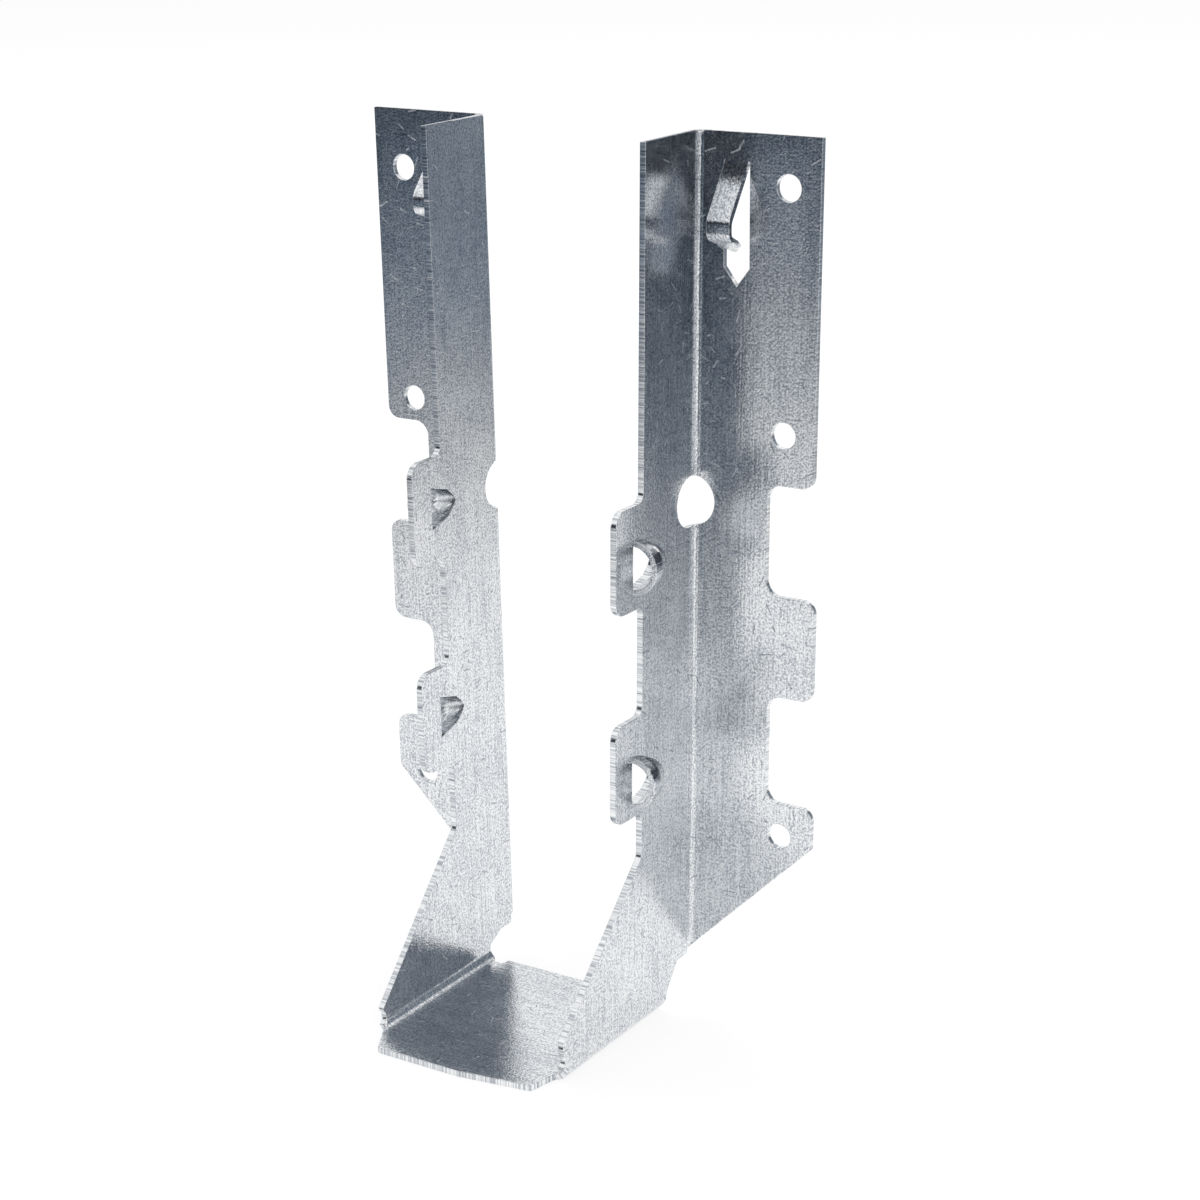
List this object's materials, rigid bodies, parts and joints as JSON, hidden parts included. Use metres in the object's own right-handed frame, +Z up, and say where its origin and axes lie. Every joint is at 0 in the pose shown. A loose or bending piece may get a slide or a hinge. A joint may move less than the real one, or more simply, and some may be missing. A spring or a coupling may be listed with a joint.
{
  "type": "joist hanger",
  "caption": "Face-mount joist hanger folded from galvanised sheet: a seat between side plates with outward nail flanges, nail domes, prongs and punched holes.",
  "frame": {"origin": "on the underside of the seat, halfway between the two sides and halfway between the header face and the seat's front edge; the header face is the plane Y = +26.3 mm", "axes": "+Y back towards the header, +Z up, +X towards the joist's right-hand side as seen from the front"},
  "size_m": [0.0954, 0.0526, 0.1668],
  "materials": {
    "galvanised_sheet": "galvanised, fine mottle, small scratches"
  },
  "bodies": {
    "root": {"joist_hanger": "galvanised_sheet"}
  },
  "joints": []
}
